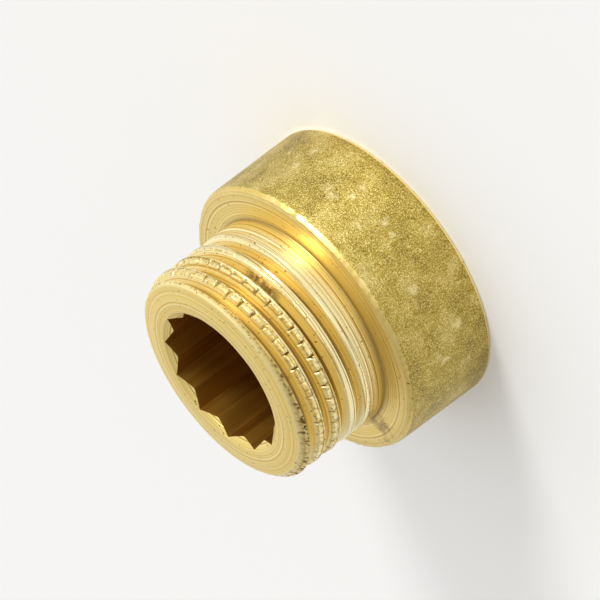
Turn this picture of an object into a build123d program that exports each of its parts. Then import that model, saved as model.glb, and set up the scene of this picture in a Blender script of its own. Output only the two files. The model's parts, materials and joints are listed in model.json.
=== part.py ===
"""Threaded extension fitting: one piece of brass with an inside thread below and an outside thread above.

It stands on the end face of its wide body, with the narrow threaded nose pointing up.
"""
import os
from math import atan, cos, degrees, radians, tan

from build123d import *

# Half inch parallel pipe thread, right hand, the same form at both ends
thread_diameter = 20.955
thread_pitch = 1.814
thread_depth = 1.162
thread_flank = 27.5

# Wide body, forged with a little draft and faced at both ends
body_diameter = 27.5
body_length = 9.7
body_draft = 1.0
end_chamfer = 0.3
shoulder_chamfer = 0.5

# Nose with the outside thread, whose groove climbs out of the metal above the plain neck
nose_length = 9.8
nose_chamfer = 0.93
full_groove_height = 2.68
runout_turns = 0.75

# Notches pressed along the crests so that hemp holds, deepest at the nose and fading towards the neck
notch_count = 44
notch_depth = 0.27
notch_foot_height = 2.4
notch_fade_angle = 1.1
notch_start_angle = 0.7

# Inside thread, open at the bottom, with a flat floor for a washer
female_bore_diameter = 19.0
female_depth = 8.6
female_mouth_chamfer = 1.3
female_thread_length = 7.4

# Twelve-point opening for a hexagon key, countersunk at the nose
key_across_flats = 12.3
countersink_width = 1.05
countersink_angle = 110.0

# How far each cutter reaches past the surface that it opens
cutter_reach = 0.4

# Sizes that follow from those above
crest_radius = thread_diameter / 2
root_radius = crest_radius - thread_depth
groove_opening_depth = thread_depth + cutter_reach
body_radius = body_diameter / 2
shoulder_radius = body_radius - body_length * tan(radians(body_draft))
nose_top = body_length + nose_length
groove_start = body_length + full_groove_height
groove_top = nose_top + 2 * thread_pitch
blank_top = groove_top + thread_pitch
runout_height = runout_turns * thread_pitch
runout_angle = degrees(atan(thread_depth / runout_height))
notch_foot = body_length + notch_foot_height
female_bore_radius = female_bore_diameter / 2
female_start = -2 * thread_pitch
blank_bottom = female_start - thread_pitch
mouth_radius = female_bore_radius + female_mouth_chamfer
key_radius = key_across_flats / 2
countersink_radius = key_radius + countersink_width
countersink_depth = countersink_width / tan(radians(countersink_angle / 2))


def groove_section(bottom, opening_side, height):
    """Corners of the thread groove's section: its root, and two flanks that open past the surface."""
    opening = bottom + opening_side * groove_opening_depth
    opening_half = groove_opening_depth * tan(radians(thread_flank))
    return [(bottom, height), (opening, height - opening_half), (opening, height + opening_half)]


# Outside groove at its full depth, from above the neck to past the nose face
with BuildPart() as nose_groove:
    with BuildLine() as nose_helix:
        Helix(thread_pitch, groove_top - groove_start, root_radius, center=(0, 0, groove_start))
    with BuildSketch(Plane.XZ):
        with BuildLine():
            Polyline(groove_section(root_radius, 1, groove_start), close=True)
        make_face()
    sweep(path=nose_helix.wire(), is_frenet=True)

# The same groove below that, on a cone that lifts it out of the metal: a cone's pitch is along its slope
with BuildPart() as runout_groove:
    with BuildLine() as runout_helix:
        Helix(
            thread_pitch / cos(radians(runout_angle)),
            runout_height,
            root_radius,
            center=(0, 0, groove_start),
            direction=(0, 0, -1),
            cone_angle=runout_angle,
        )
    with BuildSketch(Plane.XZ):
        with BuildLine():
            Polyline(groove_section(-root_radius, -1, groove_start), close=True)
        make_face()
    sweep(path=runout_helix.wire(), is_frenet=True)

# Inside groove, from below the mouth to short of the floor
with BuildPart() as female_groove:
    with BuildLine() as female_helix:
        Helix(thread_pitch, female_thread_length - female_start, crest_radius, center=(0, 0, female_start))
    with BuildSketch(Plane.XZ):
        with BuildLine():
            Polyline(groove_section(crest_radius, -1, female_start), close=True)
        make_face()
    sweep(path=female_helix.wire(), is_frenet=True)

with BuildPart() as extension_fitting:
    # Turned blank, too long at both ends until its threads are cut
    with BuildSketch(Plane.YZ):
        with BuildLine():
            Polyline(
                (female_bore_radius, blank_bottom),
                (body_radius, blank_bottom),
                (body_radius, 0),
                (shoulder_radius, body_length - shoulder_chamfer),
                (shoulder_radius - shoulder_chamfer, body_length),
                (crest_radius, body_length),
                (crest_radius, blank_top),
                (key_radius, blank_top),
                (key_radius, female_depth),
                (female_bore_radius, female_depth),
                close=True,
            )
        make_face()
    revolve(axis=Axis.Z)
    # Threads
    add(female_groove.part, mode=Mode.SUBTRACT)
    add(nose_groove.part, mode=Mode.SUBTRACT)
    add(runout_groove.part, rotation=(0, 0, 180), mode=Mode.SUBTRACT)
    # Nose faced to length, with its outer chamfer and the countersink of the key opening
    with BuildSketch(Plane.YZ):
        with BuildLine():
            Polyline(
                (crest_radius + cutter_reach, nose_top - nose_chamfer - cutter_reach),
                (crest_radius - nose_chamfer, nose_top),
                (countersink_radius, nose_top),
                (key_radius, nose_top - countersink_depth),
                (0, nose_top - countersink_depth),
                (0, blank_top + cutter_reach),
                (crest_radius + cutter_reach, blank_top + cutter_reach),
                close=True,
            )
        make_face()
    revolve(axis=Axis.Z, mode=Mode.SUBTRACT)
    # Foot faced to length, with its outer edge and the mouth of the inside thread
    with BuildSketch(Plane.YZ):
        with BuildLine():
            Polyline(
                (body_radius + cutter_reach, end_chamfer + cutter_reach),
                (body_radius - end_chamfer, 0),
                (mouth_radius, 0),
                (female_bore_radius - cutter_reach, female_mouth_chamfer + cutter_reach),
                (female_bore_radius - cutter_reach, blank_bottom - cutter_reach),
                (body_radius + cutter_reach, blank_bottom - cutter_reach),
                close=True,
            )
        make_face()
    revolve(axis=Axis.Z, mode=Mode.SUBTRACT)
    # Twelve points: two hexagons, one turned half a side against the other
    with BuildSketch(Plane.XY.offset(female_depth - cutter_reach)):
        RegularPolygon(key_radius, 6, major_radius=False)
        RegularPolygon(key_radius, 6, major_radius=False, rotation=30)
    extrude(amount=nose_top - female_depth + 2 * cutter_reach, mode=Mode.SUBTRACT)
    # Notches: square bars with a corner towards the axis, tapering away from the nose
    with BuildSketch(Plane.XY.offset(nose_top + cutter_reach)):
        with PolarLocations(crest_radius, notch_count, start_angle=notch_start_angle):
            RegularPolygon(notch_depth, 4)
    extrude(amount=notch_foot - nose_top - cutter_reach, taper=notch_fade_angle, mode=Mode.SUBTRACT)

extension_fitting.part.label = "extension_fitting"
os.makedirs("parts", exist_ok=True)
export_step(extension_fitting.part, "parts/extension_fitting.step")
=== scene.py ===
# %% [markdown]
# # A brass pipe extension
#
# This lesson dresses one small fitting: a round forged body with a thread inside, and a narrow
# nose with a thread outside. A machinist makes the real one from a hot forging: the lathe faces
# its ends, cuts the threads and leaves the body's grainy skin as it came from the die.
# We follow the same order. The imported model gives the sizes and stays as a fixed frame.

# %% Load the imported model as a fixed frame
import json
from math import atan2, cos, degrees, hypot, pi, radians, sin, tan, tau

import bmesh
import bpy
from mathutils import Matrix, Vector, noise


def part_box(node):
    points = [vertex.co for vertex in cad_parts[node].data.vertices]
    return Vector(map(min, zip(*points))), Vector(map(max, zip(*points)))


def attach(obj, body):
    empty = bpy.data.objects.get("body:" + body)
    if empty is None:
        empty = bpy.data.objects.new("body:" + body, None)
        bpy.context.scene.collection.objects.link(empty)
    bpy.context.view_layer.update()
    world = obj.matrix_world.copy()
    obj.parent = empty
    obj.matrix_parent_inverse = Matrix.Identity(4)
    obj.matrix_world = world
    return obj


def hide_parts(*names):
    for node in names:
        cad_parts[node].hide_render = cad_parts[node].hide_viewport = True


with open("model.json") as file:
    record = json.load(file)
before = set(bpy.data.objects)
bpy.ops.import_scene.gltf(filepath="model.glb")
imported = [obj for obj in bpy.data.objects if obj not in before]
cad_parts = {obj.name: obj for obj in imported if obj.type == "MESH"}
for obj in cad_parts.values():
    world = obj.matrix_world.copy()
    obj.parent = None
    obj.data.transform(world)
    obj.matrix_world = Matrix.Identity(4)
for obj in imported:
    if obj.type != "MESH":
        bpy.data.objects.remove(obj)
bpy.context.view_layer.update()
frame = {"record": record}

# %% [markdown]
# ## Sizes
#
# Every size starts from the frame: the mounts give the thread's radii and lengths, and the node's
# box gives the outside. We model in millimetres, as a workshop drawing does, and scale the
# finished mesh to metres at the end.

# %% Read the sizes from the frame
mm = 0.001
mounts = {mount["name"]: mount for mount in frame["record"]["mounts"]}
male_thread = mounts["male_thread"]["dims"]
crest_radius = male_thread["r_mm"]
bore_radius = mounts["female_thread"]["dims"]["r_mm"]
shoulder_height = mounts["shoulder"]["pos_m"][2] / mm
node_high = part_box("extension_fitting")[1]
nose_top = node_high.z / mm
body_radius = node_high.x / mm
nose_chamfer = nose_top - shoulder_height - male_thread["length_mm"]

# Half inch parallel pipe thread: what the mounts don't say
pitch = 1.814
thread_depth = 1.162
flank_angle = radians(27.5)
flank_slope = tan(flank_angle)
print("nose", nose_top, "shoulder", shoulder_height, "crest radius", crest_radius)

# %% [markdown]
# ## One pitch of thread
#
# A thread is one section carried round a helix. The section runs from the middle of one crest,
# down a flank, through the root and up to the middle of the next crest. On the real part each
# crest has a narrow raised rim at its back, left by the wheel that pressed the notches, and its
# front edge is rolled round. We could bevel those edges later, but the notches would get in the
# way, so the section has its rounded corners from the start.

# %% Draw a section with rounded corners
# A rounding takes no more than this share of the stretch on either side of its corner
rounding_limit = 0.45


def rounded(corners, steps):
    """Points of a line through corners of (height, depth, radius), its inner corners rounded."""
    points = [Vector(corners[0][:2])]
    for before, corner, after in zip(corners, corners[1:], corners[2:]):
        point = Vector(corner[:2])
        back = Vector(before[:2]) - point
        ahead = Vector(after[:2]) - point
        reach = min(corner[2], rounding_limit * back.length, rounding_limit * ahead.length)
        start = point + back.normalized() * reach
        end = point + ahead.normalized() * reach
        for step in range(steps + 1):
            share = step / steps
            points.append(start.lerp(point, share).lerp(point.lerp(end, share), share))
    points.append(Vector(corners[-1][:2]))
    return points


def divided(points, longest):
    """The same line with each long stretch cut into pieces no longer than longest."""
    line = [points[0]]
    for start, end in zip(points, points[1:]):
        pieces = max(1, round((end - start).length / longest))
        line += [start.lerp(end, piece / pieces) for piece in range(1, pieces + 1)]
    return line


groove_half = thread_depth * flank_slope
rim_width = 0.14
rim_height = 0.05
rim_end = groove_half + rim_width
front_edge = -groove_half + rim_height * flank_slope
front_round, root_round, rim_round = 0.13, 0.10, 0.03
nose_corners = [
    (-pitch / 2, rim_height, 0),
    (front_edge, rim_height, front_round),
    (0, thread_depth, root_round),
    (groove_half, 0, rim_round),
    (rim_end, 0, rim_round),
    (rim_end + rim_height, rim_height, rim_round),
    (pitch / 2, rim_height, 0),
]
nose_section = divided(rounded(nose_corners, steps=2), longest=0.26)
print("one pitch of the outside thread has", len(nose_section), "points")

# %% [markdown]
# ## Carry the section round the helix
#
# Blender's spin operator turns a line of edges about an axis, and its dvec moves the line a little
# at each step, so a spin with dvec is a screw. One spin of seven turns would also do, but each
# step looks through all that was made before, so it is far quicker to spin one turn and copy it
# upwards. Neighbouring turns meet in the middle of a crest, where we merge their vertices. The
# number of columns is a multiple of the notches, so every notch gets the same vertices.

# %% Spin the outside thread
notch_count = 44
columns_per_notch = 10
columns = notch_count * columns_per_notch
band_turns = 7
turns_below = 2
merge_distance = 0.004


def spin_thread(section, radius, side, start):
    """A band of thread: the section's depth goes inwards (side -1) or outwards (side 1)."""
    band = bmesh.new()
    line = [band.verts.new((radius + side * depth, 0, start + height)) for height, depth in section]
    edges = [band.edges.new(pair) for pair in zip(line, line[1:])]
    bmesh.ops.spin(
        band,
        geom=line + edges,
        cent=(0, 0, 0),
        axis=(0, 0, 1),
        dvec=(0, 0, pitch / columns),
        angle=tau,
        steps=columns,
        use_merge=False,
    )
    one_turn = band.verts[:] + band.edges[:] + band.faces[:]
    for number in range(1, band_turns):
        copied = bmesh.ops.duplicate(band, geom=one_turn)["geom"]
        copied_verts = [item for item in copied if isinstance(item, bmesh.types.BMVert)]
        bmesh.ops.translate(band, vec=(0, 0, number * pitch), verts=copied_verts)
    bmesh.ops.remove_doubles(band, verts=band.verts, dist=merge_distance)
    return band


plain_neck = 2.68
groove_start = shoulder_height + plain_neck
thread = spin_thread(nose_section, crest_radius, -1, groove_start - turns_below * pitch)
print("outside thread:", len(thread.verts), "vertices")

# %% [markdown]
# ## Run-out
#
# On the lathe the tool is drawn out of the metal over the last three quarters of a turn, so the
# groove gets shallower and narrower until only the plain neck is left. An edit of each place's
# depth does that on the spun band, and so do the notches, the burr and the chamfer that follow.
# We write each as a small function and then move every vertex once.

# %% Draw the groove out of the metal
runout_turns = 0.75


def smooth(value, low, high):
    """0 at low, 1 at high, and a smooth step between. Low may be the larger of the two."""
    share = min(1.0, max(0.0, (value - low) / (high - low)))
    return share * share * (3 - 2 * share)


def turns_up(angle, height):
    """Height above the groove's start in turns, without the helix's own climb."""
    return (height - groove_start) / pitch - angle / tau


def runout_lift(angle, height):
    """How far the groove nearest to this place has been drawn out of the metal."""
    turn_number = round(turns_up(angle, height)) + angle / tau
    return thread_depth * min(1.0, max(0.0, -turn_number / runout_turns))


def from_groove(angle, height):
    """Distance along the axis from the middle of the nearest groove, positive to the nose."""
    turns = turns_up(angle, height)
    return (turns - round(turns)) * pitch


print("groove at full depth from height", round(groove_start, 2))

# %% [markdown]
# ## Notches
#
# A toothed wheel has pressed notches into the crests, so that hemp grips them: deep near the
# nose, faint towards the neck. Boolean cuts with bars would give equal, sharp notches. The real
# ones are uneven and push up a little lip on both sides, so we give the depth of a notch column by
# column, and noise makes each one stronger or weaker.

# %% Press the notches
notch_depth = 0.23
notch_offset = radians(0.7)
notch_unevenness = 0.9
notch_seed = 4.0
# The wheel pressed from the first of these heights, and fully from the second
pressed_from, pressed_fully = shoulder_height + 3.6, shoulder_height + 6.2
half_notch = columns_per_notch // 2
# Depth of each column of a notch, from its middle outwards, with the lip as a negative depth
notch_form = [1.0, 0.16, -0.08, -0.02, 0.0, 0.0]
# Where a notch fades: across the rim behind it, and down the flank ahead of it
rim_fade = groove_half + 0.35 * rim_width, rim_end + 0.1
flank_fade = 0.12, 0.42


def pressed(height):
    """How strongly the wheel pressed: not at all by the neck, fully by the nose."""
    return smooth(height, pressed_from, pressed_fully)


def notch_cut(angle, height, depth):
    """How far a notch lowers this place on a crest. It misses the rim."""
    column = round((angle - notch_offset) / tau * columns)
    number, offset = divmod(column + half_notch, columns_per_notch)
    across = from_groove(angle, height)
    behind = smooth(across, *rim_fade) if across > 0 else 1.0
    ahead = 1 - smooth(depth, *flank_fade)
    uneven = 1 + notch_unevenness * noise.noise((1.7 * number, 0.9 * height, notch_seed))
    strength = notch_depth * pressed(height) * behind * ahead * uneven
    return strength * notch_form[abs(offset - half_notch)]


print(notch_count, "notches,", notch_depth, "mm deep")

# %% [markdown]
# ## A burr and the nose chamfer
#
# One groove holds a torn burr, where the tool dragged. Noise that is stretched along the groove
# makes it look ripped. Last, the nose was chamfered, which cuts the first crest away to a ragged
# edge: a cone limits the radius, and noise moves that limit where the crest is cut.

# %% Tear one groove and chamfer the nose
burr_height = 0.32
# The burr's two ends in degrees, its width across the groove and how deep on the flanks it sits
burr_rise, burr_fall = (97, 103), (116, 125)
burr_width = 0.35, 0.6
burr_depth = 0.2, 0.6
nose_face_radius = crest_radius - nose_chamfer
slow_ragged, fine_ragged = 0.04, 0.06


def burr_lift(angle, height, depth):
    """Torn metal left in one groove, on the side of the part that faces us."""
    along = smooth(degrees(angle), *burr_rise) * (1 - smooth(degrees(angle), *burr_fall))
    near = 1 - smooth(abs(height - groove_start - pitch * (1 + angle / tau)), *burr_width)
    torn = 0.5 + 0.5 * noise.noise((4.0 * angle * crest_radius, 3.0 * height, 1.0))
    return along * near * torn * smooth(depth, *burr_depth)


def chamfer_radius(height, around):
    """Radius of the nose chamfer at a height, ragged towards the first crest."""
    outer = smooth(nose_top - height, 0.4, nose_chamfer)
    slow = slow_ragged * noise.noise(1.5 * around)
    fine = fine_ragged * noise.noise(4.0 * around)
    return nose_face_radius + nose_top - height + outer * (slow + fine)


print("nose face starts at radius", round(nose_face_radius, 3))

# %% [markdown]
# ## Dirt, wear, painted shade and painted highlight
#
# The roots, the step behind each rim and the neck's corner get painted shade, the notches are
# made darker, and dirt leaves dark specks on the crests. The crests are burnished pale where they
# rubbed against other parts; that pale colour is partly painted highlight, and the flanks get it
# only as painted highlight. A texture could guess where that is, but here we know it exactly, so
# we write two numbers on each vertex, grime and painted shade, burnish and painted highlight, for
# the material to read.

# %% Work out grime and burnish
# The root value is painted shade, the step value a painted shadow, and the notch value makes the
# notches darker
root_painted_shade, notch_darkening, step_painted_shadow, burr_grime, speck_grime = 0.65, 0.75, 0.5, 0.75, 0.6
# The flank value gives the flanks a paler colour as painted highlight
flank_burnish, chamfer_burnish = 0.55, 0.5
step_margin = 0.01
# Depths between which a crest turns into a flank, and from which a groove counts as its root
crest_edge, flank_edge = 0.1, 0.3
root_edge = 0.7 * thread_depth
notch_edge = 0.3 * notch_depth


def thread_finish(angle, height, depth, cut, burr, around):
    """Grime and painted shade, and burnish and painted highlight, of a place on the thread."""
    # Painted shade deep in the groove's root
    in_root = smooth(depth, root_edge, thread_depth)
    # Darker in the notches
    in_notch = smooth(cut, notch_edge, notch_depth)
    on_crest = 1 - smooth(depth, crest_edge, flank_edge)
    past_rim = from_groove(angle, height) - groove_half - rim_width
    # A painted shadow lies on the crest just past the rim's small step
    at_step = step_margin < past_rim < rim_height + step_margin and depth < crest_edge
    speck = pressed(height) * on_crest * smooth(noise.noise(5.0 * around), 0.22, 0.42)
    rubbed_off = 0.9 * pressed(height) * smooth(noise.noise(4.0 * around), -0.3, 0.15)
    grime_and_shade = max(
        root_painted_shade * in_root,
        notch_darkening * in_notch,
        step_painted_shadow if at_step else 0.0,
        min(burr_grime, 1.1 * burr),
        speck_grime * speck,
    )
    # Flanks get a paler colour only as painted highlight; crests are burnished pale where they
    # rubbed
    burnish = flank_burnish * (1 - on_crest) + on_crest * (1 - in_notch) * (1 - rubbed_off)
    return grime_and_shade, burnish


def chamfer_finish(cut_away, around):
    """Grime and burnish on the chamfer: dirt sits along its outer edge, where least was cut."""
    near_edge = smooth(cut_away, 0.55, 0.1)
    return near_edge * smooth(noise.noise(4.5 * around), 0.0, 0.3), chamfer_burnish


# Painted shade in the roots and darkening in the notches
print("grime in roots", root_painted_shade, "and in notches", notch_darkening)

# %% [markdown]
# ## Shape the band
#
# Now every vertex of the spun band is moved once. Its angle and height stay, and its radius is
# worked out anew: the spun depth less the run-out, a notch or the burr, and at most the chamfer's
# cone. Cutting each of these with its own tool shape would need four booleans on a fine mesh.


# %% Shape the band
def polar(radius, angle, height):
    """The point at a radius, an angle and a height."""
    return radius * cos(angle), radius * sin(angle), height


chamfer_foot = nose_top - nose_chamfer - 0.1
# Two vertex layers: dirt and painted shade, and burnish and painted highlight
grime_and_shade_layer = thread.verts.layers.float.new("grime_and_shade")
burnish_layer = thread.verts.layers.float.new("burnish")
for vert in thread.verts:
    angle = atan2(vert.co.y, vert.co.x) % tau
    height = vert.co.z
    spun_depth = crest_radius - hypot(vert.co.x, vert.co.y)
    depth = max(0.0, spun_depth - runout_lift(angle, height))
    cut = notch_cut(angle, height, depth)
    burr = burr_lift(angle, height, depth)
    around = Vector(polar(crest_radius, angle, height))
    radius = crest_radius - depth - cut + burr_height * burr
    chamfer = chamfer_radius(height, around)
    if radius < chamfer:
        finish = thread_finish(angle, height, depth, cut, burr, around)
        vert[grime_and_shade_layer], vert[burnish_layer] = finish
    elif height > chamfer_foot:
        vert[grime_and_shade_layer], vert[burnish_layer] = chamfer_finish(radius - chamfer, around)
    vert.co = polar(min(radius, chamfer), angle, height)
deepest = min(hypot(vert.co.x, vert.co.y) for vert in thread.verts)
print("deepest root at radius", round(deepest, 3))

# %% [markdown]
# ## Trim the band
#
# The spun band is longer than the nose. Two flat cuts leave a clean ring of edges at the top and
# at the neck, and those rings are what the rest of the part grows from. The upper cut lies a
# little below the top, because the nose face rises from its chamfer to the opening.

# %% Cut the band at the nose and at the neck
nose_drop = 0.3
neck_cut = 0.7
cut_tolerance = 0.0005


def trimmed(band, low, high):
    """Cuts a band flat at two heights and gives the rings of edges there."""
    for height, above in ((low, False), (high, True)):
        bmesh.ops.bisect_plane(
            band,
            geom=band.verts[:] + band.edges[:] + band.faces[:],
            dist=cut_tolerance,
            plane_co=(0, 0, height),
            plane_no=(0, 0, 1),
            clear_outer=above,
            clear_inner=not above,
        )
    ends = [edge for edge in band.edges if edge.is_boundary]
    middle = (low + high) / 2
    lower = [edge for edge in ends if edge.verts[0].co.z < middle]
    upper = [edge for edge in ends if edge.verts[0].co.z > middle]
    return lower, upper


neck_ring, nose_ring = trimmed(thread, shoulder_height + neck_cut, nose_top - nose_drop)
print("rings of", len(neck_ring), "and", len(nose_ring), "edges")

# %% [markdown]
# ## Neck and shoulder
#
# From here each step is one pass of a lathe tool: extrude the open ring of edges and put the new
# ring at its radius and height. We could spin a whole outline instead, but the ring already
# follows the thread's columns, and so the mesh stays in one piece. The same small function turns
# neck, shoulder, body, foot, nose and key socket, because the place may depend on the angle too.

# %% Turn neck and shoulder
TURNED, SKIN, SOCKET = 0, 1, 2


def at(radius, height):
    """A place that is the same at every angle."""
    return lambda angle: (radius, height)


def turn(band, ring, place, finish=TURNED, grime_and_shade=0.0, burnish=0.0):
    """Extrudes a ring to the radius and height that place(angle) gives; returns the new ring."""
    made = bmesh.ops.extrude_edge_only(band, edges=ring)["geom"]
    grime_and_shade_values = band.verts.layers.float.get("grime_and_shade")
    burnish_values = band.verts.layers.float.get("burnish")
    for item in made:
        if isinstance(item, bmesh.types.BMVert):
            angle = atan2(item.co.y, item.co.x)
            radius, height = place(angle)
            item.co = polar(radius, angle, height)
            # The inside thread has no such layers and stays clean
            if grime_and_shade_values:
                item[grime_and_shade_values] = grime_and_shade
                item[burnish_values] = burnish
        elif isinstance(item, bmesh.types.BMFace):
            item.material_index = finish
    return [item for item in made if isinstance(item, bmesh.types.BMEdge) and item.is_boundary]


def turn_along(band, ring, line, **finish):
    """Turns a ring along a line of (radius, height) points."""
    for radius, height in line:
        ring = turn(band, ring, at(radius, height), **finish)
    return ring


neck_fillet = 0.18
fillet_middle = 0.3 * neck_fillet
# The third number of each fillet row is painted shade in the corner between neck and shoulder
fillet_rings_with_shade = (
    (crest_radius, shoulder_height + neck_fillet, 0.45),
    (crest_radius + fillet_middle, shoulder_height + fillet_middle, 0.6),
    (crest_radius + neck_fillet, shoulder_height, 0.35),
)
ring = turn(thread, neck_ring, at(crest_radius, shoulder_height + 0.45))
for radius, height, grime_and_shade in fillet_rings_with_shade:
    ring = turn(thread, ring, at(radius, height), grime_and_shade=grime_and_shade)
shoulder_radii = crest_radius + 0.45, crest_radius + 1.8
ring = turn_along(thread, ring, [(radius, shoulder_height) for radius in shoulder_radii])
print("neck and shoulder:", len(thread.faces), "faces")

# %% [markdown]
# ## Body and foot
#
# The forged body has one degree of draft, so that it left the die, and a turned chamfer at the
# shoulder. Where the grainy skin meets that chamfer the line wanders a little, because a forging
# is never quite round. A bevel would make it straight, so noise moves these rings. The shoulder
# chamfer is darkened a little as painted shade, which dims its highlight. The foot has a small
# chamfer, painted pale as a painted highlight.

# %% Turn body and foot
draft = tan(radians(1.0))
chamfer_width = 0.5
# Painted shade on the shoulder chamfer, which dims its highlight
chamfer_painted_shade = 0.1
end_chamfer = 0.3
skin_rows = 9
shoulder_edge_radius = body_radius - shoulder_height * draft


def wander(angle, seed, size):
    """An uneven line round the axis: slow bends with finer ones on them."""
    slow = noise.noise((3.0 * cos(angle), 3.0 * sin(angle), seed))
    fine = noise.noise((30.0 * cos(angle), 30.0 * sin(angle), seed))
    return size * (0.7 * slow + 0.8 * fine)


def chamfer_inner(angle):
    """Where the flat shoulder ends."""
    radius = shoulder_edge_radius - chamfer_width - 0.1 + wander(angle, 2.0, 0.06)
    return radius, shoulder_height


def chamfer_bend(angle):
    """A ring halfway out, which makes the chamfer a little round."""
    height = shoulder_height - 0.15 + wander(angle, 5.0, 0.07)
    return shoulder_edge_radius - 0.5 * chamfer_width, height


def chamfer_outer(angle):
    """Where the chamfer meets the skin."""
    height = shoulder_height - chamfer_width + wander(angle, 8.0, 0.2)
    return shoulder_edge_radius - 0.02, height


def skin_start(angle):
    """A narrow step down from the chamfer into the skin."""
    radius, height = chamfer_outer(angle)
    return radius + 0.02, height - 0.12


for place in (chamfer_inner, chamfer_bend, chamfer_outer):
    ring = turn(thread, ring, place, grime_and_shade=chamfer_painted_shade)
ring = turn(thread, ring, skin_start, SKIN)
skin_top = shoulder_height - chamfer_width - 0.5
for row in range(skin_rows + 1):
    height = skin_top + (end_chamfer - skin_top) * row / skin_rows
    radius = body_radius - (height - end_chamfer) * draft
    ring = turn(thread, ring, at(radius, height), SKIN)
foot_edge = body_radius - end_chamfer
# The foot chamfer is painted pale as a painted highlight
ring = turn_along(thread, ring, [(body_radius - 0.1, 0.08), (foot_edge, 0)], burnish=1.0)
edge_round = 0.05
mouth_chamfer = 1.3
mouth_radius = bore_radius + mouth_chamfer
turn_along(thread, ring, [(foot_edge - 0.8, 0), (mouth_radius + edge_round, 0)])
print("outside:", len(thread.faces), "faces")

# %% [markdown]
# ## Nose face and key socket
#
# The nose face is flat only round the opening. Outside that land it slopes gently to the chamfer.
# The opening has twelve points: two hexagons, one turned against the other, so that a hexagon key
# fits every thirty degrees. Its edge is countersunk, and where a cone meets flat walls it leaves a
# scallop at each point. A boolean would cut it too, but one formula gives the opening's radius at
# an angle, and the cone's height at that radius gives the scallops by themselves.

# %% Turn the nose face
key_radius = 6.15
countersink_width = 1.05
land_width = 1.1
countersink_radius = key_radius + countersink_width
land_radius = countersink_radius + land_width
nose_line = [
    (nose_face_radius + nose_drop - 0.06, nose_top - nose_drop + 0.03),
    (nose_face_radius - 0.1, nose_top - 0.22),
    (nose_face_radius - 0.25, nose_top - 0.2),
    (nose_face_radius - 0.7, nose_top - 0.1),
    (land_radius + 0.1, nose_top - 0.015),
    (land_radius - 0.1, nose_top),
    (countersink_radius + edge_round, nose_top),
]
ring = turn_along(thread, nose_ring, nose_line)
print("nose face ends at radius", countersink_radius + edge_round)

# %% Turn the countersink and the socket
countersink_angle = radians(110.0)
countersink_slope = tan(countersink_angle / 2)
floor_below_shoulder = 1.1
socket_foot = shoulder_height - floor_below_shoulder
cone_shares = 0.08, 0.4, 0.75, 0.95
socket_depths = 1.2, 3.0, 6.0, nose_top - socket_foot


def opening_radius(angle):
    """Radius of the twelve-point opening, which has a point on +X."""
    from_point = abs((angle + pi / 12) % (pi / 6) - pi / 12)
    return key_radius / cos(pi / 6 - from_point)


def on_cone(share):
    """A place on the countersink: share 0 is its rim and 1 is the opening's edge."""

    def place(angle):
        radius = countersink_radius + (opening_radius(angle) - countersink_radius) * share
        return radius, nose_top - (countersink_radius - radius) / countersink_slope

    return place


def on_wall(depth):
    """A place on the socket's wall, at a depth below the nose face."""
    return lambda angle: (opening_radius(angle), nose_top - depth)


for share in cone_shares:
    ring = turn(thread, ring, on_cone(share))
for depth in socket_depths:
    ring = turn(thread, ring, on_wall(depth), SOCKET)
print("with nose and socket:", len(thread.faces), "faces")

# %% [markdown]
# ## Inside thread
#
# The inside thread is the same screw with the metal on the other side. Its mouth is chamfered, so
# vertices inside that cone move out to it, and near the floor the groove fades as the tap stops.
# It is hidden in most views, so it gets fewer points than the outside one.

# %% Spin and trim the inside thread
tap_depth = crest_radius - bore_radius
tap_half = tap_depth * flank_slope
tap_edge_round, tap_root_round = 0.06, 0.08
tap_corners = [
    (-pitch / 2, 0, 0),
    (-tap_half, 0, tap_edge_round),
    (0, tap_depth, tap_root_round),
    (tap_half, 0, tap_edge_round),
    (pitch / 2, 0, 0),
]
tap_section = divided(rounded(tap_corners, steps=1), longest=0.5)
tap_below_shoulder = 2.3
tap_end = shoulder_height - tap_below_shoulder
tap_fade = 0.45 * pitch
bore = spin_thread(tap_section, bore_radius, 1, -turns_below * pitch)
for vert in bore.verts:
    angle = atan2(vert.co.y, vert.co.x) % tau
    height = vert.co.z
    fade = smooth(height, tap_end - tap_fade, tap_end + tap_fade)
    tapped = max(bore_radius, hypot(vert.co.x, vert.co.y) - tap_depth * fade)
    vert.co = polar(max(tapped, mouth_radius - height), angle, height)
mouth_ring, top_ring = trimmed(bore, edge_round, tap_end + 0.9)
floor_line = [
    (bore_radius, socket_foot - 0.1),
    (bore_radius - 0.1, socket_foot),
    (bore_radius - 0.9, socket_foot),
]
turn(bore, mouth_ring, at(mouth_radius, 0))
turn_along(bore, top_ring, floor_line)
print("inside thread:", len(bore.faces), "faces")

# %% [markdown]
# ## Close the part
#
# Two flat gaps are left: the ring at the foot, and the floor between the inside thread and the
# socket. Bridging would pair the two edges of a gap vertex by vertex, but they have different
# numbers of vertices and the pairs can slip round, so we fill the flat ring with triangles.
# Then the mesh is one closed skin, whose normals we turn outwards. Edges that fold sharply stay
# sharp, and all others are shaded smooth.

# %% Join inside and outside into one closed mesh
level_tolerance = 0.001
radius_margin = 0.01
sharp_angle = radians(28)


def open_ring(band, height, low_radius, high_radius):
    """The open edges at one height whose radius lies between two limits."""
    found = []
    for edge in band.edges:
        start = edge.verts[0].co
        level = abs(start.z - height) < level_tolerance
        if edge.is_boundary and level and low_radius < hypot(start.x, start.y) < high_radius:
            found.append(edge)
    return found


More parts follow.
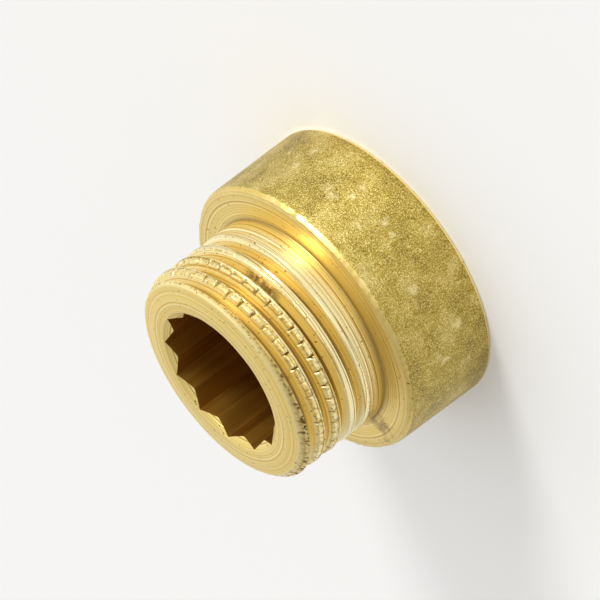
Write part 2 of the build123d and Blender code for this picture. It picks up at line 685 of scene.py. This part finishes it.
bore_mesh = bpy.data.meshes.new("bore")
bore.to_mesh(bore_mesh)
bore.free()
thread.from_mesh(bore_mesh)
bpy.data.meshes.remove(bore_mesh)
foot_edges = open_ring(thread, 0, mouth_radius - radius_margin, body_radius)
floor_edges = open_ring(thread, socket_foot, key_radius - radius_margin, bore_radius)
for edges in (foot_edges, floor_edges):
    bmesh.ops.triangle_fill(thread, edges=edges, use_beauty=True, normal=(0, 0, 1))
bmesh.ops.recalc_face_normals(thread, faces=thread.faces)
for edge in thread.edges:
    if len(edge.link_faces) == 2:
        edge.smooth = edge.calc_face_angle() < sharp_angle
for face in thread.faces:
    face.smooth = True
open_edges = [edge for edge in thread.edges if not edge.is_manifold]
print("closed mesh:", len(thread.faces), "faces,", len(open_edges), "open edges")

# %% [markdown]
# ## The finished piece
#
# The mesh is scaled to metres and put into an object that stays at the origin, as the packed
# model's node does. It rides on the part's only body and stands in for the plain node, which is
# hidden.

# %% Make the object
bmesh.ops.scale(thread, vec=(mm, mm, mm), verts=thread.verts)
fitting_mesh = bpy.data.meshes.new("turned_fitting")
thread.to_mesh(fitting_mesh)
thread.free()
fitting = bpy.data.objects.new("turned_fitting", fitting_mesh)
bpy.context.scene.collection.objects.link(fitting)
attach(fitting, "root")
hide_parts("extension_fitting")
triangles = sum(len(polygon.vertices) - 2 for polygon in fitting_mesh.polygons)
print("fitting:", triangles, "triangles")

# %% [markdown]
# ## Colours and nodes
#
# Colours are written as sRGB hex values, as a picture shows them, and one function turns them into
# the linear values that the renderer works with. Another small function adds a node, sets it and
# links it, which keeps the recipes below short enough to read.


# %% Colour and node helpers
def linear(hex_colour):
    """Linear RGBA of an sRGB hex colour."""
    channels = [int(hex_colour[place:place + 2], 16) / 255 for place in (1, 3, 5)]
    return [c / 12.92 if c <= 0.04045 else ((c + 0.055) / 1.055) ** 2.4 for c in channels] + [1.0]


def node(tree, kind, inputs=None, **settings):
    """Adds a node: settings are its own properties, and inputs are values or sockets to link."""
    made = tree.nodes.new(kind)
    for name, value in settings.items():
        setattr(made, name, value)
    for name, value in (inputs or {}).items():
        if isinstance(value, bpy.types.NodeSocket):
            tree.links.new(value, made.inputs[name])
        else:
            made.inputs[name].default_value = value
    return made


def ramp(tree, factor, stops):
    """The colour of a ramp with (place, hex colour) stops."""
    made = node(tree, "ShaderNodeValToRGB", {"Fac": factor})
    elements = made.color_ramp.elements
    while len(elements) < len(stops):
        elements.new(0.5)
    for element, (place, colour) in zip(elements, stops):
        element.position = place
        element.color = linear(colour)
    return made.outputs["Color"]


def new_material(name):
    """An empty node material, its tree and its shader."""
    material = bpy.data.materials.new(name)
    material.use_nodes = True
    tree = material.node_tree
    return material, tree, tree.nodes["Principled BSDF"]


print("brass yellow in linear light:", [round(c, 3) for c in linear("#f0d278")])

# %% [markdown]
# ## Turned brass: tool rings
#
# Cut brass is bright yellow, and the lathe tool leaves fine rings on it. They follow the radius on
# a face and the height on a cylinder, so one coordinate draws both: the radius plus a share of
# the height. The share is below one, because on a 45 degree chamfer the plain sum stands still.
# Real rings of 0.05 mm would vanish in the picture, so they are drawn as coarse as 0.2 mm. An
# image texture could do it too, but would need unwrapping, and would blur close up.

# %% Tool rings
# To the eye: satin yellow metal with fine rings that catch the light in turn
turned_brass, cut_tree, cut_shader = new_material("turned_brass")
cut_place = node(cut_tree, "ShaderNodeTexCoord").outputs["Object"]
axes = node(cut_tree, "ShaderNodeSeparateXYZ", {0: cut_place})
flat = node(cut_tree, "ShaderNodeCombineXYZ", {"X": axes.outputs["X"], "Y": axes.outputs["Y"]})
from_axis = node(cut_tree, "ShaderNodeVectorMath", {0: flat.outputs[0]}, operation="LENGTH")
height_share = 0.6
along_tool = node(
    cut_tree,
    "ShaderNodeMath",
    {0: axes.outputs["Z"], 1: height_share, 2: from_axis.outputs["Value"]},
    operation="MULTIPLY_ADD",
)
ring_width = 0.20 * mm
rings = node(
    cut_tree,
    "ShaderNodeTexNoise",
    {"W": along_tool.outputs[0], "Scale": 1 / ring_width, "Detail": 3.0, "Roughness": 0.6},
    noise_dimensions="1D",
).outputs["Fac"]
ring_colour = ramp(cut_tree, rings, [(0.3, "#d1ac53"), (0.455, "#f0d278"), (0.68, "#fae9a7")])
ring_bump = node(
    cut_tree,
    "ShaderNodeBump",
    {"Strength": 1.0, "Distance": 0.05 * mm, "Height": rings},
)
cut_tree.links.new(ring_bump.outputs[0], cut_shader.inputs["Normal"])
print("tool rings", ring_width / mm, "mm wide")

# %% [markdown]
# ## Turned brass: pits, dirt and painted shade
#
# Cast and forged brass has small pits that open when it is cut, and they hold dark oil. The dirt
# and painted shade in the thread's roots, notches, steps and the neck's corner was noted on the
# vertices. A brown patch on the shoulder is partly an oil stain and partly painted shade where the
# shoulder lies in shadow: a spot at one place, whose edge is bent by noise so that it isn't a disc.

# %% Pits, dirt and painted shade
pit_width = 0.30 * mm
pits = node(
    cut_tree,
    "ShaderNodeTexNoise",
    {"Vector": cut_place, "Scale": 1 / pit_width, "Detail": 1.0},
)
pit_share = node(
    cut_tree,
    "ShaderNodeMapRange",
    {
        "Value": pits.outputs["Fac"],
        "From Min": 0.70,
        "From Max": 0.76,
        "To Min": 0.0,
        "To Max": 0.8,
    },
)
# Vertex values of dirt and painted shade
grime_and_shade_share = node(cut_tree, "ShaderNodeAttribute", attribute_name="grime_and_shade")
spots_and_shade_share = node(
    cut_tree,
    "ShaderNodeMath",
    {0: pit_share.outputs[0], 1: grime_and_shade_share.outputs["Fac"]},
    operation="MAXIMUM",
)
print("pits", pit_width / mm, "mm wide")

# %% Oil stain and painted shade on the shoulder
# A brown patch on the shoulder: partly an oil stain, partly painted shade where the shoulder lies
# in shadow
stain_and_shade_edge_width = 0.9 * mm
stain_and_shade_bend = 3.0 * mm
# The noise bends the place one way on average, so the middle is moved by half as much
stain_and_shade_middle = Vector((11.6, -1.2, shoulder_height)) * mm
stain_and_shade_middle += Vector((0.5, 0.5, 0.5)) * stain_and_shade_bend
stain_and_shade_edges = node(
    cut_tree,
    "ShaderNodeTexNoise",
    {"Vector": cut_place, "Scale": 1 / stain_and_shade_edge_width, "Detail": 3.0},
)
stain_and_shade_place = node(
    cut_tree,
    "ShaderNodeVectorMath",
    {0: stain_and_shade_edges.outputs["Color"], 1: (stain_and_shade_bend, stain_and_shade_bend, stain_and_shade_bend), 2: cut_place},
    operation="MULTIPLY_ADD",
)
from_stain_and_shade = node(
    cut_tree,
    "ShaderNodeVectorMath",
    {0: stain_and_shade_place.outputs["Vector"], 1: stain_and_shade_middle},
    operation="DISTANCE",
)
stain_and_shade_share = node(
    cut_tree,
    "ShaderNodeMapRange",
    {
        "Value": from_stain_and_shade.outputs["Value"],
        "From Min": 0.4 * mm,
        "From Max": 1.5 * mm,
        "To Min": 0.6,
        "To Max": 0.0,
    },
)
on_shoulder = node(
    cut_tree,
    "ShaderNodeMath",
    {0: axes.outputs["Z"], 1: shoulder_height * mm, 2: 0.05 * mm},
    operation="COMPARE",
)
dirt_and_shade_share = node(
    cut_tree,
    "ShaderNodeMath",
    {0: stain_and_shade_share.outputs[0], 1: on_shoulder.outputs[0], 2: spots_and_shade_share.outputs[0]},
    operation="MULTIPLY_ADD",
    use_clamp=True,
)
print("smudge at", tuple(round(c, 4) for c in stain_and_shade_middle))

# %% [markdown]
# ## Turned brass: colour and polish
#
# Burnished brass is paler than freshly cut brass, and that pale colour is partly painted highlight.
# Dirt and painted shade are dark brown, so the colour is mixed twice. The rings also vary the
# roughness a little, as a tool's chatter does. Only where the brass is fully burnished, on crests
# and not on flanks, it is smoother: a high power of the burnish is near zero everywhere else.

# %% Colour and polish
burnish_share = node(cut_tree, "ShaderNodeAttribute", attribute_name="burnish").outputs["Fac"]
# The pale burnish colour is partly painted highlight
burnished_colour = ramp(cut_tree, rings, [(0.36, "#cfa64c"), (0.47, "#fff0b8")])
cut_colour = node(
    cut_tree,
    "ShaderNodeMix",
    {0: burnish_share, 6: ring_colour, 7: burnished_colour},
    data_type="RGBA",
)
# Dark brown, for dirt and for painted shade in the roots, steps, neck corner, shoulder chamfer and
# shoulder patch
turned_colour = node(
    cut_tree,
    "ShaderNodeMix",
    {0: dirt_and_shade_share.outputs[0], 6: cut_colour.outputs[2], 7: linear("#6b4814")},
    data_type="RGBA",
)
cut_tree.links.new(turned_colour.outputs[2], cut_shader.inputs["Base Color"])
polish = node(
    cut_tree,
    "ShaderNodeMapRange",
    {"Value": rings, "From Min": 0.3, "From Max": 0.7, "To Min": 0.31, "To Max": 0.45},
)
burnish_power = 4.0
burnish_gain = -0.18
burnished_most = node(
    cut_tree,
    "ShaderNodeMath",
    {0: burnish_share, 1: burnish_power},
    operation="POWER",
)
smoother = node(
    cut_tree,
    "ShaderNodeMath",
    {0: burnished_most.outputs[0], 1: burnish_gain, 2: polish.outputs[0]},
    operation="MULTIPLY_ADD",
)
cut_tree.links.new(smoother.outputs[0], cut_shader.inputs["Roughness"])
cut_shader.inputs["Metallic"].default_value = 1.0
print(turned_brass.name, "has", len(cut_tree.nodes), "nodes")

# %% [markdown]
# ## Forged skin
#
# The body keeps the skin of the forging, blasted to a fine grain. It is the same brass, but dull
# and a little olive, with grains of 0.1 to 0.2 mm that catch light one by one, and paler blotches
# where it was rubbed. Grains that small could never be modelled one by one, so noise gives both
# their colour and their bump.

# %% Grain and blotches
# To the eye: a sparkling, sandy olive yellow, uneven over a few millimetres
forged_skin, skin_tree, skin_shader = new_material("forged_brass_skin")
skin_place = node(skin_tree, "ShaderNodeTexCoord").outputs["Object"]
grain_width = 0.12 * mm
grain = node(
    skin_tree,
    "ShaderNodeTexNoise",
    {"Vector": skin_place, "Scale": 1 / grain_width, "Detail": 2.0, "Roughness": 0.6},
).outputs["Fac"]
grain_stops = [(0.32, "#3f300c"), (0.43, "#a88f3e"), (0.55, "#cbb257"), (0.65, "#fff3ae")]
grain_colour = ramp(skin_tree, grain, grain_stops)
blotch_width = 2.6 * mm
blotches = node(
    skin_tree,
    "ShaderNodeTexNoise",
    {"Vector": skin_place, "Scale": 1 / blotch_width, "Detail": 5.0, "Roughness": 0.65},
).outputs["Fac"]
blotch_stops = [(0.34, "#7d682e"), (0.5, "#c0a850"), (0.66, "#f2e096")]
blotch_colour = ramp(skin_tree, blotches, blotch_stops)
blotch_share = 0.4
skin_colour = node(
    skin_tree,
    "ShaderNodeMix",
    {0: blotch_share, 6: grain_colour, 7: blotch_colour},
    data_type="RGBA",
)
grain_bump = node(
    skin_tree,
    "ShaderNodeBump",
    {"Strength": 0.8, "Distance": 0.08 * mm, "Height": grain},
)
skin_tree.links.new(grain_bump.outputs[0], skin_shader.inputs["Normal"])
skin_shader.inputs["Metallic"].default_value = 1.0
skin_shader.inputs["Roughness"].default_value = 0.42
print("grain", grain_width / mm, "mm, blotches", blotch_width / mm, "mm")

# %% [markdown]
# ## Scars on the skin
#
# Small pale scars lie in a belt round the middle of the body, where the forging rubbed in the die.
# A Voronoi pattern scatters spots at an even spacing. Round spots would look like paint, so noise
# bends the place that the pattern reads, and a band of heights keeps them in the belt.

# %% Scars
scar_spacing = 2.2 * mm
scar_edge_width = 0.45 * mm
scar_bend = 1.3 * mm
belt_middle, belt_half = 4.4 * mm, 1.9 * mm
scar_edges = node(
    skin_tree,
    "ShaderNodeTexNoise",
    {"Vector": skin_place, "Scale": 1 / scar_edge_width, "Detail": 2.0},
)
scar_place = node(
    skin_tree,
    "ShaderNodeVectorMath",
    {0: scar_edges.outputs["Color"], 1: (scar_bend, scar_bend, scar_bend), 2: skin_place},
    operation="MULTIPLY_ADD",
)
scars = node(
    skin_tree,
    "ShaderNodeTexVoronoi",
    {"Vector": scar_place.outputs["Vector"], "Scale": 1 / scar_spacing},
)
scar = node(
    skin_tree,
    "ShaderNodeMapRange",
    {
        "Value": scars.outputs["Distance"],
        "From Min": 0.08,
        "From Max": 0.26,
        "To Min": 0.6,
        "To Max": 0.0,
    },
)
skin_height = node(skin_tree, "ShaderNodeSeparateXYZ", {0: skin_place}).outputs["Z"]
in_belt = node(
    skin_tree,
    "ShaderNodeMath",
    {0: skin_height, 1: belt_middle, 2: belt_half},
    operation="COMPARE",
)
scar_share = node(
    skin_tree,
    "ShaderNodeMath",
    {0: scar.outputs[0], 1: in_belt.outputs[0]},
    operation="MULTIPLY",
)
scarred = node(
    skin_tree,
    "ShaderNodeMix",
    {0: scar_share.outputs[0], 6: skin_colour.outputs[2], 7: linear("#fbefb4")},
    data_type="RGBA",
)
skin_tree.links.new(scarred.outputs[2], skin_shader.inputs["Base Color"])
print(forged_skin.name, "has", len(skin_tree.nodes), "nodes")

# %% [markdown]
# ## Broached socket
#
# The key socket was pushed through with a broach. Its walls are dull, with drag lines along the
# axis, and their brown is darker as painted shade of the deep socket. Noise that is stretched
# along the axis draws the lines.

# %% Broached brass
# To the eye: brown gold walls with faint straight lines, nearly black deep inside
broached_brass_with_painted_shade, socket_tree, socket_shader = new_material("broached_brass_with_painted_shade")
socket_place = node(socket_tree, "ShaderNodeTexCoord").outputs["Object"]
drag_width = 0.5 * mm
drag_stretch = 0.03
drag_scale = (1 / drag_width, 1 / drag_width, drag_stretch / drag_width)
stretched = node(socket_tree, "ShaderNodeMapping", {"Vector": socket_place, "Scale": drag_scale})
drags = node(
    socket_tree,
    "ShaderNodeTexNoise",
    {"Vector": stretched.outputs[0], "Scale": 1.0, "Detail": 3.0},
).outputs["Fac"]
# Both browns are darker than cut brass as painted shade of the deep socket
drag_lines_and_shade_colour = ramp(socket_tree, drags, [(0.3, "#ae7b29"), (0.7, "#c2923a")])
socket_tree.links.new(drag_lines_and_shade_colour, socket_shader.inputs["Base Color"])
drag_bump = node(
    socket_tree,
    "ShaderNodeBump",
    {"Strength": 0.15, "Distance": 0.03 * mm, "Height": drags},
)
socket_tree.links.new(drag_bump.outputs[0], socket_shader.inputs["Normal"])
socket_shader.inputs["Metallic"].default_value = 1.0
socket_shader.inputs["Roughness"].default_value = 0.42

# The order is that of TURNED, SKIN and SOCKET
for material in (turned_brass, forged_skin, broached_brass_with_painted_shade):
    fitting.data.materials.append(material)
print("materials:", [material.name for material in fitting.data.materials])

# %% [markdown]
# ## Floor
#
# The part stands on its foot on a floor like a sheet of white card, which keeps its shadow. One
# large square is enough.

# %% Floor
floor_half = 1.5
floor_build = bmesh.new()
bmesh.ops.create_grid(floor_build, x_segments=1, y_segments=1, size=floor_half)
floor_mesh = bpy.data.meshes.new("floor")
floor_build.to_mesh(floor_mesh)
floor_build.free()
floor = bpy.data.objects.new("floor", floor_mesh)
bpy.context.scene.collection.objects.link(floor)
# To the eye: plain matt white
white_card, _, card_shader = new_material("white_card")
card_shader.inputs["Base Color"].default_value = linear("#fdfcfa")
card_shader.inputs["Roughness"].default_value = 0.9
floor.data.materials.append(white_card)
print("floor", 2 * floor_half, "m wide")

# %% [markdown]
# ## Camera
#
# The photograph shows the part lying on its side. Here it stands, so the camera is turned about
# its own line of sight, and the part then lies in the picture as it does there. We could also use
# Euler angles, but three picture axes are easier to read: towards the camera, right and up.

# %% Camera
sight = Vector((0.1183, 0.8986, 0.4225)).normalized()
picture_right = Vector((0.6361, 0.2581, -0.7271))
picture_right = (picture_right - sight * picture_right.dot(sight)).normalized()
picture_up = sight.cross(picture_right)
aim = Vector((-1.94, -3.07, 7.06)) * mm
distance = 400 * mm
camera_data = bpy.data.cameras.new("camera")
camera_data.sensor_width = 36.0
camera_data.lens = 272.1
camera = bpy.data.objects.new("camera", camera_data)
camera_axes = Matrix((picture_right, picture_up, sight)).transposed().to_4x4()
camera.matrix_world = Matrix.Translation(aim + sight * distance) @ camera_axes
bpy.context.scene.collection.objects.link(camera)
bpy.context.scene.camera = camera
print("camera at", tuple(round(c, 4) for c in camera.location))

# %% [markdown]
# ## Light
#
# A wide sun from the picture's upper left is the key light, and a very wide one from the right
# fills the shadows. Sun lamps light every view alike. Metal shows what surrounds it, so the white
# world gets dimmer towards the picture's lower right, and the round shapes show their form.

# %% Lights
scene = bpy.context.scene
scene.view_settings.view_transform = "Standard"


def add_sun(name, direction, strength, angle):
    """A sun lamp that shines from a direction, as wide as a soft box."""
    lamp = bpy.data.lights.new(name, "SUN")
    lamp.energy = strength
    lamp.angle = radians(angle)
    placed = bpy.data.objects.new(name, lamp)
    placed.matrix_world = direction.to_track_quat("Z", "Y").to_matrix().to_4x4()
    scene.collection.objects.link(placed)


key_direction = -0.5 * picture_right + 0.6 * picture_up + 0.7 * sight
fill_direction = 0.6 * picture_right + 0.35 * picture_up + 0.8 * sight
add_sun("key", key_direction, strength=1.75, angle=18)
add_sun("fill", fill_direction, strength=0.85, angle=70)

# %% World
dim_side = 0.45 * picture_right - 0.8 * picture_up + 0.25 * sight
world = bpy.data.worlds.new("studio")
scene.world = world
world.use_nodes = True
sky = world.node_tree
sky_direction = node(sky, "ShaderNodeTexCoord").outputs["Generated"]
towards = node(
    sky,
    "ShaderNodeVectorMath",
    {0: sky_direction, 1: dim_side.normalized()},
    operation="DOT_PRODUCT",
)
dimming = node(
    sky,
    "ShaderNodeMapRange",
    {
        "Value": towards.outputs["Value"],
        "From Min": -0.6,
        "From Max": 0.8,
        "To Min": 1.05,
        "To Max": 0.5,
    },
)
background = sky.nodes["Background"]
sky.links.new(dimming.outputs[0], background.inputs["Strength"])
background.inputs["Color"].default_value = linear("#ffffff")
print("world:", world.name)
